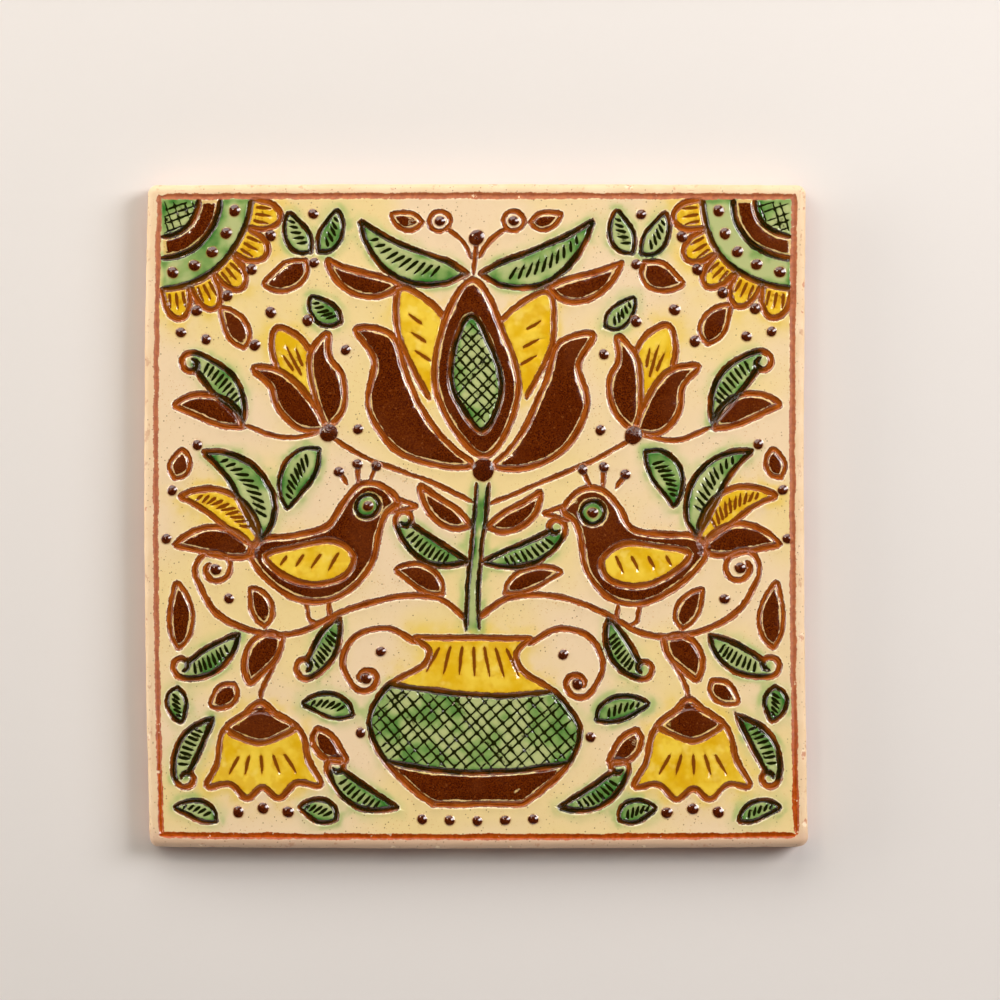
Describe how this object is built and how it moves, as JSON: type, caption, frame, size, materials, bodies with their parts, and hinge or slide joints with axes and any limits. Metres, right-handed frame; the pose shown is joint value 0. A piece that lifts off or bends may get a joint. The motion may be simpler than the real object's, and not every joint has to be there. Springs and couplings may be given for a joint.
{
  "type": "decorative ceramic tile",
  "caption": "Square earthenware wall tile with round edges, a framing line and an incised folk picture under colored glazes; it lies flat on a plain back.",
  "frame": {"origin": "centre of the flat back face, midway between the tile's corners", "axes": "+Z out of the decorated face, +Y towards the top of the picture, +X to the right of it"},
  "size_m": [0.2016, 0.2019, 0.0107],
  "materials": {
    "glazed_earthenware": "gloss"
  },
  "bodies": {
    "root": {"tile": "glazed_earthenware"}
  },
  "joints": []
}
